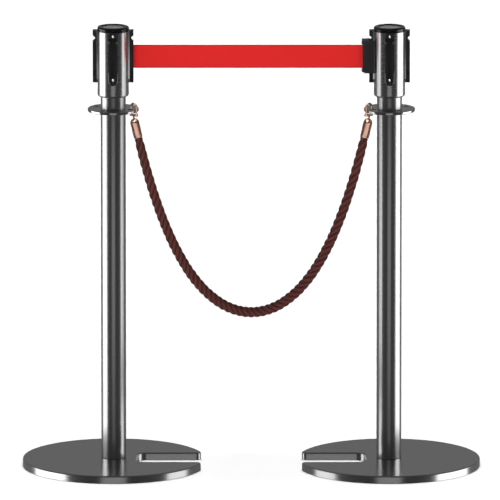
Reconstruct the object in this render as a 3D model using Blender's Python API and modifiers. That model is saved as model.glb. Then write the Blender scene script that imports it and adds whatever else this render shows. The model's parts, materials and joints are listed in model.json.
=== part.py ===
"""A pair of retractable belt posts, joined by a belt and a hanging rope.

Metres, +Z up. X runs along the barrier, from the left post to the right one, and the people
it guides stand on the -Y side. The origin is on the floor, midway between the posts.
Each post has a slotted round base, a tube, a rope ring and a head with four channels at
90 degrees. The belt winds on a sprung reel in the head. The left belt is pulled out and
hooked on the right post, and the right belt is wound in, with its clip at the back.
"""
import math

import bmesh
import bpy
import numpy as np
from mathutils import Matrix, Vector

# Driving dimensions
GAP = 0.0003                 # clearance between neighbouring solids
POST_X = 0.2805              # half the distance between the posts

BASE_R = 0.186
BASE_TOP = 0.016
COVER_WALL = 0.0012
COVER_LOW = 0.0005           # the cover's skirt stops this far above the floor
PAD_TOP = 0.003
PAD_INSET = 0.004
PAD_BORE_R = 0.013           # gives a spanner access to the bolt
SLOT_HALF = 0.0445           # half the width of the base's slot
SLOT_END = 0.047             # from the post's axis to the slot's inner end
SLOT_END_R = 0.021           # rounding of the inner end's corners
SLOT_CORNER = 0.010          # rounding where the slot meets the rim
BOLT_SHANK_R = 0.006
BOLT_CLEAR_R = 0.0063
BOLT_LOW = 0.0035
BOLT_HIGH = 0.032
BOLT_HEAD_R = 0.0105
BOLT_HEAD_TOP = 0.0088
WASHER_R = 0.0115
WASHER_TOP = 0.0105
FOOT_PLUG_TOP = 0.034

TUBE_R = 0.0254
TUBE_WALL = 0.0012
TUBE_TOP = 0.7897

RING_R = 0.052
RING_BOTTOM = 0.7353
RING_TOP = 0.7413
RING_HOLE_R = 0.0065
RING_HOLE_AT = 0.039         # from the post's axis to each hole's centre

HEAD_R = 0.03175
HEAD_WALL = 0.0015
HEAD_BOTTOM = 0.766
HEAD_TOP = 0.9005
HEAD_EDGE_R = 0.005          # rounding of the head's lower edge
PLUG_LOW = 0.760             # the plug that joins the head to the tube
PLUG_TOP = 0.796
CAP_R = 0.0322
CAP_TOP = 0.910
CAP_EDGE_R = 0.0035
CAP_RIM_LOW = 0.9042          # below its rim the cap is flush with the head
CAP_SKIRT_LOW = 0.899
DISC_R = 0.0240
DISC_LOW = 0.9073
DISC_TOP = 0.9080

CHANNEL_FACE = 0.0413        # from the post's axis to the face of a channel's lips
CHANNEL_HALF = 0.010
CHANNEL_BOTTOM = 0.794
CHANNEL_TOP = 0.9022
LIP = 0.0026                 # thickness of a channel's lips
LIP_GAP = 0.004              # half the opening between the lips
CAVITY_HALF = 0.007          # half the width of the space behind the lips
CAVITY_DEPTH = 0.0075        # from the lips' face to the cavity's floor
CAVITY_BOTTOM = 0.799
NOTCH_BOTTOM = 0.880         # the lips are cut away here, for a clip's tongue to go in
NOTCH_TOP = 0.892
NOTCH_DEPTH = 0.0047
SCREW_WALL = 0.002           # solid below the cavity, around the lower screw

BELT_LOW = 0.8241
BELT_HIGH = 0.8717
BELT_THICK = 0.0006
BELT_FROM = 0.033            # from the post's axis to where the belt's straight span starts
SLIT_LOW = 0.821             # the slit in the head and the outlet that the belt runs through
SLIT_HIGH = 0.875
SLIT_HALF = 0.0015
WOUND_BELT = {"left": 1.51, "right": 2.0}      # length still on each reel
REEL_CORE_R = 0.009
REEL_R = 0.0255
REEL_LOW = 0.8020
REEL_HIGH = 0.8738
DRUM_ROOF = 0.8220           # underside of the web between the belt and the spring
FLANGE = 0.0018              # thickness of the reel's flanges
DRUM_WALL = 0.0015
AXLE_R = 0.002
FRAME_R = 0.0296
FRAME_WALL = 0.0022
FRAME_LOW = 0.7963
FRAME_HIGH = 0.897
FRAME_PLATE = 0.0027

CLIP_HALF = 0.013            # half the clip's depth
CLIP_LOW = 0.8150
CLIP_HIGH = 0.8825
CLIP_OUT = -0.0153           # the clip's outermost face, measured from the channel's lips
CLIP_FACE = -0.0134          # where the belt goes in
CHEEK_END = 0.0105           # the cheeks reach this far past the lips
CLIP_LIFT = 0.0070
PIN_AT = -0.005
PIN_R = 0.0015
PIN_LOW = 0.8160
PIN_HIGH = 0.8742
TONGUE_LOW = 0.8735
TONGUE_HIGH = 0.8785
TONGUE_HALF = 0.006          # half the width of the tongue's wings
TONGUE_WING = 0.0025         # thickness of the wings
STEM_HALF = 0.003            # half the width of the neck behind the wings
LOOP_R = 0.0026              # the belt's fold round the pin
BELT_END = -0.012            # the sewn end's outer edge
# From the post's axis to the lips' plane of the clip on its own belt
CLIP_REACH = {"left": 2 * POST_X - CHANNEL_FACE, "right": CHANNEL_FACE + GAP - CLIP_OUT}

ROPE_R = 0.010
ROPE_Y = -0.0241             # the rope hangs this far in front of the posts' axes
ROPE_END = (0.0510, 0.6848)  # the ferrule's mouth: from the post's axis, and height
FERRULE_LENGTH = 0.041
FERRULE_R = 0.0092
ROPE_TILT = math.radians(13)
HOOK_R = 0.00225
HOOK_TURN = math.radians(30)  # the hooks' places on the ring plates, towards the front
HOOK_INNER = 0.0418          # the hook's leg through the ring's hole
HOOK_OUTER = 0.0546          # the bolt, outside the ring's rim
HOOK_BOW_Z = 0.7481          # centre of the bow's half circle
HOOK_TIP_Z = 0.7472          # the bow's end, which the bolt meets
BRIDGE_LOW = 0.7290
BRIDGE_HIGH = 0.7335
BRIDGE_HALF = 0.0026
BOSS_R = 0.0036
BOSS_HIGH = 0.7345
NECK_X = 0.0482
NECK_R = 0.0022
NECK_LOW = 0.7254
SLIDER_R = 0.0018            # the hook's spring bolt
SLIDER_LOW = 0.7322
SLIDER_HIGH = 0.7469
LUG_LENGTH = 0.0052
LUG_HALF = 0.0012
LUG_THICK = 0.0016
# Half of the rope's hanging line, from the middle to the ferrule: x and height
ROPE_ROUTE = [
    (0.0000, 0.3228), (0.0300, 0.3271), (0.0600, 0.3402), (0.0900, 0.3634), (0.1150, 0.3915),
    (0.1350, 0.4210), (0.1550, 0.4578), (0.1700, 0.4910), (0.1850, 0.5296), (0.1980, 0.5682),
    (0.2090, 0.6049), (0.2185, 0.6399), (0.2250, 0.6659), (0.2295, 0.6848),
]


def material(name, colour, roughness, metallic=0.0):
    made = bpy.data.materials.new(name)
    made.use_nodes = True
    shader = made.node_tree.nodes["Principled BSDF"]
    shader.inputs["Base Color"].default_value = (*colour, 1.0)
    shader.inputs["Roughness"].default_value = roughness
    shader.inputs["Metallic"].default_value = metallic
    return made


def collection(name):
    made = bpy.data.collections.new(name)
    bpy.context.scene.collection.children.link(made)
    return made


def clear_scene():
    for thing in list(bpy.data.objects):
        bpy.data.objects.remove(thing)


def empty(name, location, angle):
    made = bpy.data.objects.new(name, None)
    made.location = location
    made.rotation_euler.z = angle
    PARTS.objects.link(made)
    return made


def add(name, mesh, look, frame):
    """An object of the mesh, in the parts' collection, placed by its frame."""
    made = bpy.data.objects.new(name, mesh)
    mesh.materials.append(LOOKS[look])
    made.parent = frame
    PARTS.objects.link(made)
    return made


def mesh_from(bm, name):
    mesh = bpy.data.meshes.new(name)
    bm.to_mesh(mesh)
    bm.free()
    return mesh


def smooth(mesh):
    mesh.shade_smooth()
    mesh.set_sharp_from_angle(angle=math.radians(35))


def turned(name, profile, look, frame, steps=32, closed=True):
    """A turned solid. The profile's (radius, height) points run down its outer side."""
    bm = bmesh.new()
    corners = [bm.verts.new((r, 0.0, z)) for r, z in profile]
    for a, b in zip(corners, corners[1:]):
        bm.edges.new((a, b))
    if closed:
        bm.edges.new((corners[-1], corners[0]))
    made = add(name, mesh_from(bm, name), look, frame)
    screw = made.modifiers.new("Turn", "SCREW")
    screw.steps = steps
    screw.render_steps = steps
    screw.use_merge_vertices = True
    screw.merge_threshold = 0.00001
    screw.use_smooth_shade = True
    return made


def ring_profile(inner, outer, low, high):
    return [(inner, high), (outer, high), (outer, low), (inner, low)]


def disc_profile(radius, low, high):
    return [(0.0, high), (radius, high), (radius, low), (0.0, low)]


def prism(name, outlines, low, high, look, frame, turn=None):
    """Flat outlines, the first with the others as holes, extruded from low to high."""
    curve = bpy.data.curves.new(name, "CURVE")
    curve.dimensions = "2D"
    curve.fill_mode = "BOTH"
    curve.extrude = (high - low) / 2
    for outline in outlines:
        spline = curve.splines.new("POLY")
        spline.points.add(len(outline) - 1)
        for point, (x, y) in zip(spline.points, outline):
            point.co = (x, y, 0.0, 1.0)
        spline.use_cyclic_u = True
    flat = bpy.data.objects.new(name, curve)
    PARTS.objects.link(flat)
    mesh = welded_copy(flat, name)
    bpy.data.curves.remove(curve)
    mesh.transform(Matrix.Translation((0.0, 0.0, (low + high) / 2)))
    if turn is not None:
        mesh.transform(turn)
    return add(name, mesh, look, frame)


def welded_copy(source, name):
    """A mesh of a curve as it is evaluated, with its caps welded on."""
    bpy.context.view_layer.update()
    graph = bpy.context.evaluated_depsgraph_get()
    mesh = bpy.data.meshes.new_from_object(source.evaluated_get(graph))
    mesh.name = name
    mesh.materials.clear()
    bm = bmesh.new()
    bm.from_mesh(mesh)
    bmesh.ops.remove_doubles(bm, verts=bm.verts, dist=0.000005)
    bmesh.ops.recalc_face_normals(bm, faces=bm.faces)
    bm.to_mesh(mesh)
    bm.free()
    smooth(mesh)
    return mesh


def tube_mesh(name, points, radius, resolution=2):
    """A round tube with closed ends along the points, as a mesh."""
    curve = bpy.data.curves.new(name, "CURVE")
    curve.dimensions = "3D"
    curve.bevel_depth = radius
    curve.bevel_resolution = resolution
    curve.use_fill_caps = True
    spline = curve.splines.new("POLY")
    spline.points.add(len(points) - 1)
    for point, place in zip(spline.points, points):
        point.co = (*place, 1.0)
    line = bpy.data.objects.new(name, curve)
    PARTS.objects.link(line)
    mesh = welded_copy(line, name)
    bpy.data.curves.remove(curve)
    return mesh


def cutter(name, mesh, frame):
    made = bpy.data.objects.new(name, mesh)
    made.parent = frame
    made.hide_render = True
    made.display_type = "WIRE"
    CUTTERS.objects.link(made)
    return made


def box_cutter(name, low, high, frame):
    size = Vector(high) - Vector(low)
    middle = (Vector(high) + Vector(low)) / 2
    bm = bmesh.new()
    bmesh.ops.create_cube(bm, size=1.0, matrix=Matrix.Translation(middle) @ Matrix.Diagonal((*size, 1.0)))
    return cutter(name, mesh_from(bm, name), frame)


def round_cutter(name, place, radius, low, high, frame, sides=16):
    """A standing cylinder at place (x, y)."""
    bm = bmesh.new()
    move = Matrix.Translation((place[0], place[1], (low + high) / 2))
    bmesh.ops.create_cone(bm, cap_ends=True, segments=sides, radius1=radius, radius2=radius,
                          depth=high - low, matrix=move)
    return cutter(name, mesh_from(bm, name), frame)


def combine(target, other, operation="DIFFERENCE"):
    boolean = target.modifiers.new(other.name, "BOOLEAN")
    boolean.operation = operation
    boolean.solver = "EXACT"
    boolean.object = other


def arc(centre, radius, start, end, count):
    """Points on an arc, from one angle to another in degrees, both ends included."""
    angles = np.radians(np.linspace(start, end, count))
    return [(centre[0] + radius * math.cos(a), centre[1] + radius * math.sin(a)) for a in angles]


# ---------------------------------------------------------------- base

def base_outline(inset):
    """The base's outline from above, slot towards +X, drawn in by inset all round."""
    radius = BASE_R - inset
    half = SLOT_HALF + inset
    corner = SLOT_CORNER - inset
    corner_y = half + corner
    corner_x = math.sqrt((radius - corner) ** 2 - corner_y ** 2)
    turn = math.degrees(math.atan2(corner_y, corner_x))
    points = arc((corner_x, corner_y), corner, -90, turn, 5)
    points += arc((0, 0), radius, turn, 360 - turn, 44)[1:-1]
    points += arc((corner_x, -corner_y), corner, -turn, 90, 5)
    end = (SLOT_END + SLOT_END_R, SLOT_HALF - SLOT_END_R)
    points += arc((end[0], -end[1]), SLOT_END_R + inset, 270, 180, 5)
    points += arc(end, SLOT_END_R + inset, 180, 90, 5)
    return points


def base(side, frame):
    bore = arc((0, 0), PAD_BORE_R, 0, 337.5, 16)
    prism(f"{side}_floor_pad", [base_outline(PAD_INSET), bore], 0.0, PAD_TOP, "rubber", frame)

    weight_low = PAD_TOP + GAP
    weight_high = BASE_TOP - COVER_WALL - GAP
    weight = prism(f"{side}_base_weight", [base_outline(COVER_WALL + GAP)],
                   weight_low, weight_high, "cast_iron", frame)
    through = (0.0, BASE_TOP + PAD_TOP)
    combine(weight, round_cutter(f"{side}_weight_bore", (0, 0), BOLT_CLEAR_R, *through, frame))
    combine(weight, round_cutter(f"{side}_weight_counterbore", (0, 0), WASHER_R + 0.001,
                                 0.0, WASHER_TOP + GAP, frame))

    cover = prism(f"{side}_base_cover", [base_outline(0.0)], COVER_LOW, BASE_TOP, "steel", frame)
    inside = prism(f"{side}_cover_inside", [base_outline(COVER_WALL)],
                   -PAD_TOP, BASE_TOP - COVER_WALL, "steel", frame)
    PARTS.objects.unlink(inside)
    combine(cover, cutter(f"{side}_cover_hollow", inside.data, frame))
    bpy.data.objects.remove(inside)
    combine(cover, round_cutter(f"{side}_cover_bore", (0, 0), BOLT_CLEAR_R, *through, frame))


def foot(side, frame):
    """The bolt that holds the base to the plug in the tube's foot."""
    tube_bore = TUBE_R - TUBE_WALL - GAP
    plug = ring_profile(BOLT_CLEAR_R, tube_bore, BASE_TOP + GAP, FOOT_PLUG_TOP)
    turned(f"{side}_foot_plug", plug, "zinc", frame, steps=24)
    washer = ring_profile(BOLT_CLEAR_R, WASHER_R, BOLT_HEAD_TOP + GAP, WASHER_TOP)
    turned(f"{side}_bolt_washer", washer, "zinc", frame, steps=16)
    shank = disc_profile(BOLT_SHANK_R, (BOLT_LOW + BOLT_HEAD_TOP) / 2, BOLT_HIGH)
    bolt = turned(f"{side}_base_bolt", shank, "zinc", frame, steps=16, closed=False)
    head = round_cutter(f"{side}_bolt_head", (0, 0), BOLT_HEAD_R, BOLT_LOW, BOLT_HEAD_TOP,
                        frame, sides=6)
    combine(bolt, head, "UNION")


# ---------------------------------------------------------------- post

def post(side, frame):
    turned(f"{side}_post_tube", ring_profile(TUBE_R - TUBE_WALL, TUBE_R, BASE_TOP + GAP, TUBE_TOP),
           "steel", frame)
    rope_ring(side, frame)


def frontward(side):
    """The sign of a turn about +Z that goes from the other post towards the front."""
    return -1 if side == "left" else 1


def rope_ring(side, frame):
    edge = 0.001
    profile = [
        (TUBE_R + GAP, RING_TOP), (RING_R - edge, RING_TOP), (RING_R, RING_TOP - edge),
        (RING_R, RING_BOTTOM + edge), (RING_R - edge, RING_BOTTOM), (TUBE_R + GAP, RING_BOTTOM),
    ]
    ring = turned(f"{side}_rope_ring", profile, "steel", frame)
    for number in range(4):
        angle = frontward(side) * HOOK_TURN + number * math.pi / 2
        place = (RING_HOLE_AT * math.cos(angle), RING_HOLE_AT * math.sin(angle))
        hole = round_cutter(f"{side}_ring_hole_{number + 1}", place, RING_HOLE_R,
                            RING_BOTTOM - 0.002, RING_TOP + 0.002, frame, sides=12)
        combine(ring, hole)


# ---------------------------------------------------------------- head

def head_shell(side, frame):
    inner = HEAD_R - HEAD_WALL
    bore = TUBE_R + GAP
    low = HEAD_BOTTOM
    outside = arc((HEAD_R - HEAD_EDGE_R, low + HEAD_EDGE_R), HEAD_EDGE_R, 0, -90, 3)
    inside_r = HEAD_EDGE_R - HEAD_WALL
    inside = arc((HEAD_R - HEAD_EDGE_R, low + HEAD_EDGE_R), inside_r, -90, 0, 2)
    profile = [(inner, HEAD_TOP), (HEAD_R, HEAD_TOP), *outside,
               (bore, low), (bore, low + HEAD_WALL), *inside]
    tube = turned(f"{side}_head_tube", profile, "steel", frame)
    window = box_cutter(f"{side}_belt_window", (inner - 0.002, -SLIT_HALF, SLIT_LOW),
                        (HEAD_R + 0.002, SLIT_HALF, SLIT_HIGH), frame)
    combine(tube, window)

    spigot = TUBE_R - TUBE_WALL - GAP
    flange = HEAD_R - HEAD_WALL - GAP
    shoulder = TUBE_TOP + GAP
    turned(f"{side}_head_plug",
           [(0.0, PLUG_TOP), (flange, PLUG_TOP), (flange, shoulder), (spigot, shoulder),
            (spigot, PLUG_LOW), (0.0, PLUG_LOW)], "aluminium", frame, steps=24, closed=False)


def top_cap(side, frame):
    skirt = HEAD_R - HEAD_WALL - GAP
    under = HEAD_TOP + GAP
    skirt_inner = skirt - 0.002
    recess = DISC_LOW - GAP
    rim = arc((CAP_R - CAP_EDGE_R, CAP_TOP - CAP_EDGE_R), CAP_EDGE_R, 90, 0, 3)
    profile = [(0.0, recess), (DISC_R + 0.0004, recess), (DISC_R + 0.001, CAP_TOP), *rim,
               (CAP_R, CAP_RIM_LOW), (HEAD_R, CAP_RIM_LOW), (HEAD_R, under),
               (skirt, under), (skirt, CAP_SKIRT_LOW),
               (skirt_inner, CAP_SKIRT_LOW), (skirt_inner, under), (0.0, under)]
    turned(f"{side}_top_cap", profile, "black_gloss", frame, steps=24, closed=False)
    turned(f"{side}_cap_disc", disc_profile(DISC_R, DISC_LOW, DISC_TOP), "grey_plastic", frame,
           steps=24, closed=False)


def channel_block(name, look, frame):
    """A channel on the head's outside: round-ended block, T-shaped space, notched lips."""
    half = CHANNEL_HALF
    outline = [(half, CHANNEL_TOP), (-half, CHANNEL_TOP)]
    outline += arc((0, CHANNEL_BOTTOM + half), half, 180, 360, 9)
    lay_down = Matrix(((0, 0, 1, 0), (1, 0, 0, 0), (0, 1, 0, 0), (0, 0, 0, 1)))
    block = prism(name, [outline], HEAD_R - 0.003, CHANNEL_FACE, look, frame, lay_down)
    combine(block, round_cutter(f"{name}_seat", (0, 0), HEAD_R + GAP, HEAD_BOTTOM, CAP_TOP,
                                frame, sides=48))
    floor = CHANNEL_FACE - CAVITY_DEPTH
    outside = CHANNEL_FACE + 0.002
    combine(block, box_cutter(f"{name}_cavity", (floor, -CAVITY_HALF, CAVITY_BOTTOM + SCREW_WALL),
                              (CHANNEL_FACE - LIP, CAVITY_HALF, NOTCH_TOP), frame))
    combine(block, box_cutter(f"{name}_opening", (floor + 0.001, -LIP_GAP, CAVITY_BOTTOM),
                              (outside, LIP_GAP, NOTCH_TOP), frame))
    combine(block, box_cutter(f"{name}_notch", (CHANNEL_FACE - NOTCH_DEPTH, -2 * half, NOTCH_BOTTOM),
                              (outside, 2 * half, NOTCH_TOP), frame))
    return block


def channels(side, head_frame, centre):
    """Three receivers for other posts' clips, and the outlet that this post's belt leaves by."""
    outlet = channel_block(f"{side}_belt_outlet", "black_plastic", head_frame)
    combine(outlet, box_cutter(f"{side}_outlet_throat", (HEAD_R - 0.003, -SLIT_HALF, SLIT_LOW),
                               (CHANNEL_FACE, SLIT_HALF, SLIT_HIGH), head_frame))
    for name, angle in RECEIVERS[side].items():
        frame = empty(f"{side}_{name}_frame", centre, math.radians(angle))
        channel_block(f"{side}_receiver_{name}", "black_plastic", frame)


# ---------------------------------------------------------------- belt winder

def wound_radius(side):
    """Outer radius of the belt on the reel, from the length that is wound on it."""
    return math.sqrt((REEL_CORE_R + GAP) ** 2 + WOUND_BELT[side] * BELT_THICK / math.pi)


def winder(side, frame):
    bore = AXLE_R + GAP
    inside = FRAME_R - FRAME_WALL
    floor = FRAME_LOW + FRAME_PLATE
    roof = FRAME_HIGH - FRAME_PLATE
    profile = [(bore, FRAME_HIGH), (FRAME_R, FRAME_HIGH), (FRAME_R, FRAME_LOW), (bore, FRAME_LOW),
               (bore, floor), (inside, floor), (inside, roof), (bore, roof)]
    cage = turned(f"{side}_reel_frame", profile, "zinc", frame, steps=24)
    opening = box_cutter(f"{side}_frame_opening", (2 * AXLE_R, -FRAME_R - 0.01, floor + 0.0005),
                         (FRAME_R + 0.01, FRAME_R + 0.01, roof - 0.0005), frame)
    combine(cage, opening)

    seat = FRAME_HIGH + GAP
    rivet = seat + 0.0012
    foot_z = FRAME_LOW + GAP
    turned(f"{side}_reel_axle",
           [(0.0, rivet), (2 * AXLE_R, rivet), (2 * AXLE_R, seat), (AXLE_R, seat),
            (AXLE_R, foot_z), (0.0, foot_z)], "steel", frame, steps=12, closed=False)

    drum = REEL_R - DRUM_WALL
    upper = REEL_HIGH - FLANGE
    lower = DRUM_ROOF + FLANGE
    turned(f"{side}_reel",
           [(bore, REEL_HIGH), (REEL_R, REEL_HIGH), (REEL_R, upper), (REEL_CORE_R, upper),
            (REEL_CORE_R, lower), (REEL_R, lower), (REEL_R, REEL_LOW), (drum, REEL_LOW),
            (drum, DRUM_ROOF), (bore, DRUM_ROOF)], "black_plastic", frame, steps=20)
    turned(f"{side}_belt_coil",
           ring_profile(REEL_CORE_R + GAP, wound_radius(side), BELT_LOW, BELT_HIGH),
           "belt_red", frame, steps=20)
    power_spring(side, frame)
    belt_lead(side, frame)


def power_spring(side, frame):
    """The flat spiral spring in the reel's drum, as an outline of its strip."""
    turns, per_turn, first, last, strip = 4, 10, 0.0035, 0.0228, 0.0004
    steps = np.linspace(0.0, 1.0, turns * per_turn + 1)
    inner, outer = [], []
    for step in steps:
        angle = 2 * math.pi * turns * step
        radius = first + (last - first) * step
        ray = (math.cos(angle), math.sin(angle))
        inner.append(((radius - strip) * ray[0], (radius - strip) * ray[1]))
        outer.append(((radius + strip) * ray[0], (radius + strip) * ray[1]))
    margin = 0.0015
    prism(f"{side}_power_spring", [inner + outer[::-1]], REEL_LOW + margin, DRUM_ROOF - margin,
          "spring_steel", frame)


def strip_outline(line, thick):
    """The outline of a strip of this thickness along a line of (x, y) points."""
    left, right = [], []
    for number, point in enumerate(line):
        before = Vector(line[max(number - 1, 0)])
        after = Vector(line[min(number + 1, len(line) - 1)])
        along = (after - before).normalized()
        across = Vector((-along.y, along.x)) * thick / 2
        left.append(tuple(Vector(point) + across))
        right.append(tuple(Vector(point) - across))
    return left + right[::-1]


def belt_lead(side, frame):
    """The belt between its coil, which it leaves at a tangent, and the outlet."""
    reach = 0.0285
    radius = wound_radius(side) + GAP + BELT_THICK / 2
    turn = math.acos(radius / reach)
    start = (radius * math.cos(turn), radius * math.sin(turn))
    line = [start, (reach - 0.0015, 0.0013), (reach, 0.0003), (BELT_FROM - GAP, 0.0)]
    prism(f"{side}_belt_lead", [strip_outline(line, BELT_THICK)], BELT_LOW, BELT_HIGH,
          "belt_red", frame)


def belt_span(side, frame):
    """The pulled-out belt, from inside the outlet to its sewn end in the clip."""
    end = CLIP_REACH[side] + BELT_END - GAP
    half = BELT_THICK / 2
    outline = [(BELT_FROM, -half), (end, -half), (end, half), (BELT_FROM, half)]
    prism(f"{side}_belt_span", [outline], BELT_LOW, BELT_HIGH, "belt_red", frame)


# ---------------------------------------------------------------- belt clip

def clip_side_outline():
    """The clip from the side: x from the channel's lips, and height."""
    chamfer = 0.0035
    slope = 0.0015
    recess_high = BELT_HIGH + 0.0022
    recess_low = BELT_LOW - 0.0022
    return [
        (CHEEK_END, CLIP_HIGH), (CLIP_OUT, CLIP_HIGH), (CLIP_OUT, recess_high + slope),
        (CLIP_FACE, recess_high), (CLIP_FACE, recess_low), (CLIP_OUT, recess_low - slope),
        (CLIP_OUT, CLIP_LOW + chamfer), (CLIP_OUT + 2 * chamfer, CLIP_LOW), (CHEEK_END, CLIP_LOW),
    ]


def clip_housing(side, frame):
    """The moulded clip: cheeks that straddle a channel, and a T-shaped tongue that hooks in it."""
    housing = prism(f"{side}_clip_housing", [clip_side_outline()], -CLIP_HALF, CLIP_HALF,
                    "black_plastic", frame, Matrix.Rotation(math.pi / 2, 4, "X"))
    pocket = CHANNEL_HALF + GAP
    combine(housing, box_cutter(f"{side}_clip_pocket", (-GAP, -pocket, CLIP_LOW - 0.01),
                                (2 * CHEEK_END, pocket, CLIP_HIGH + 0.01), frame))
    slot_low = BELT_LOW - CLIP_LIFT - GAP
    slot_high = BELT_HIGH + 0.0012
    slot_half = BELT_THICK + 0.0004
    combine(housing, round_cutter(f"{side}_loop_bore", (PIN_AT, 0), LOOP_R + 2 * GAP,
                                  slot_low, slot_high, frame))
    combine(housing, box_cutter(f"{side}_belt_slot", (CLIP_OUT - 0.005, -slot_half, slot_low),
                                (PIN_AT, slot_half, slot_high), frame))
    combine(housing, round_cutter(f"{side}_pin_bore", (PIN_AT, 0), PIN_R + GAP,
                                  PIN_LOW - GAP, PIN_HIGH + GAP, frame, sides=12))
    wing = LIP + GAP
    stem = box_cutter(f"{side}_tongue_stem", (-0.001, -STEM_HALF, TONGUE_LOW),
                      (wing + 0.001, STEM_HALF, TONGUE_HIGH), frame)
    combine(housing, stem, "UNION")
    wings = box_cutter(f"{side}_tongue_wings", (wing, -TONGUE_HALF, TONGUE_LOW),
                       (wing + TONGUE_WING, TONGUE_HALF, TONGUE_HIGH), frame)
    combine(housing, wings, "UNION")


def belt_loop(side, frame):
    """The belt's sewn end, folded round the clip's pin."""
    stem = BELT_THICK
    meet = math.degrees(math.asin(stem / LOOP_R))
    outline = arc((PIN_AT, 0), LOOP_R, 180 - meet, -180 + meet, 14)
    outline += [(BELT_END, -stem), (BELT_END, stem)]
    hole = arc((PIN_AT, 0), PIN_R + GAP, 0, 330, 12)
    prism(f"{side}_belt_loop", [outline, hole], BELT_LOW, BELT_HIGH, "belt_red", frame)


def clip(side, head_frame):
    frame = empty(f"{side}_clip_frame", (CLIP_REACH[side], 0.0, 0.0), 0.0)
    frame.parent = head_frame
    clip_housing(side, frame)
    belt_loop(side, frame)
    pin = turned(f"{side}_clip_pin", disc_profile(PIN_R, PIN_LOW, PIN_HIGH), "zinc", frame,
                 steps=10, closed=False)
    pin.location.x = PIN_AT


# ---------------------------------------------------------------- rope

def smooth_route(points, spacing):
    """Points about spacing apart on a smooth curve through the given points."""
    line = np.array(points)
    padded = np.vstack([2 * line[0] - line[1], line, 2 * line[-1] - line[-2]])
    fine = []
    for a, b, c, d in zip(padded, padded[1:], padded[2:], padded[3:]):
        for t in np.linspace(0.0, 1.0, 12, endpoint=False):
            fine.append(0.5 * (2 * b + (c - a) * t + (2 * a - 5 * b + 4 * c - d) * t ** 2
                               + (3 * b - a - 3 * c + d) * t ** 3))
    fine = np.array([*fine, line[-1]])
    along = np.concatenate([[0.0], np.cumsum(np.linalg.norm(np.diff(fine, axis=0), axis=1))])
    at = np.linspace(0.0, along[-1], round(along[-1] / spacing) + 1)
    return np.stack([np.interp(at, along, fine[:, k]) for k in range(fine.shape[1])], axis=1)


def rope_line():
    """The hanging rope's centreline, from the left ferrule's mouth to the right one's."""
    right = [(x, ROPE_Y, z) for x, z in ROPE_ROUTE]
    left = [(-x, y, z) for x, y, z in right[:0:-1]]
    return smooth_route(left + right, 0.022)


def rope():
    line = rope_line()
    back = GAP * Vector((math.sin(ROPE_TILT), 0.0, -math.cos(ROPE_TILT)))
    line[0] += 2 * back
    line[-1] += 2 * Vector((-back.x, 0.0, back.z))
    add("rope", tube_mesh("rope", line, ROPE_R, 2), "rope_brown", None)


def rope_end(side, frame):
    """Ferrule, swivel hook and sliding bolt, in the post's frame with the rope towards +X."""
    mouth = Vector((ROPE_END[0], -frontward(side) * ROPE_Y, ROPE_END[1]))
    socket = empty(f"{side}_ferrule_frame", mouth, 0.0)
    socket.parent = frame
    socket.rotation_euler.y = -ROPE_TILT
    shoulder = FERRULE_LENGTH - FERRULE_R - 0.004
    dome = [(FERRULE_R * math.cos(a), shoulder + (FERRULE_LENGTH - shoulder) * math.sin(a))
            for a in np.radians((70, 45, 22, 0))]
    profile = [(0.0, FERRULE_LENGTH), *dome, (FERRULE_R, 0.0), (0.0, 0.0)]
    turned(f"{side}_rope_ferrule", profile, "copper", socket, steps=16, closed=False)
    hook_frame = empty(f"{side}_hook_frame", (0.0, 0.0, 0.0), frontward(side) * HOOK_TURN)
    hook_frame.parent = frame
    rope_hook(side, hook_frame)
    hook_bolt(side, hook_frame)


def rope_hook(side, frame):
    bow = (HOOK_OUTER - HOOK_INNER) / 2
    middle = (HOOK_OUTER + HOOK_INNER) / 2
    over = arc((middle, HOOK_BOW_Z), bow, 180, 0, 9)
    path = [(HOOK_INNER, 0.0, (BRIDGE_LOW + BRIDGE_HIGH) / 2), *[(x, 0.0, z) for x, z in over],
            (HOOK_OUTER, 0.0, HOOK_TIP_Z)]
    hook = add(f"{side}_rope_hook", tube_mesh(f"{side}_rope_hook", path, HOOK_R), "copper", frame)
    bridge = box_cutter(f"{side}_hook_bridge", (HOOK_INNER - HOOK_R, -BRIDGE_HALF, BRIDGE_LOW),
                        (HOOK_OUTER, BRIDGE_HALF, BRIDGE_HIGH), frame)
    combine(hook, bridge, "UNION")
    boss = round_cutter(f"{side}_hook_boss", (HOOK_OUTER, 0), BOSS_R, BRIDGE_LOW - 0.0002,
                        BOSS_HIGH, frame, sides=12)
    combine(hook, boss, "UNION")
    neck = round_cutter(f"{side}_hook_neck", (NECK_X, 0), NECK_R, NECK_LOW, BRIDGE_LOW + 0.001,
                        frame, sides=12)
    combine(hook, neck, "UNION")
    bore = round_cutter(f"{side}_bolt_bore", (HOOK_OUTER, 0), SLIDER_R + GAP, NECK_LOW,
                        BOSS_HIGH + 0.001, frame, sides=12)
    combine(hook, bore)


def hook_bolt(side, frame):
    """The spring bolt that closes the hook, with its thumb lug."""
    bolt = turned(f"{side}_hook_bolt", disc_profile(SLIDER_R, SLIDER_LOW, SLIDER_HIGH), "copper",
                  frame, steps=10, closed=False)
    bolt.location.x = HOOK_OUTER
    lug_top = SLIDER_HIGH - 0.0001
    lug = box_cutter(f"{side}_bolt_lug", (HOOK_OUTER, -LUG_HALF, lug_top - LUG_THICK),
                     (HOOK_OUTER + LUG_LENGTH, LUG_HALF, lug_top), frame)
    combine(bolt, lug, "UNION")


# ---------------------------------------------------------------- assembly

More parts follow.
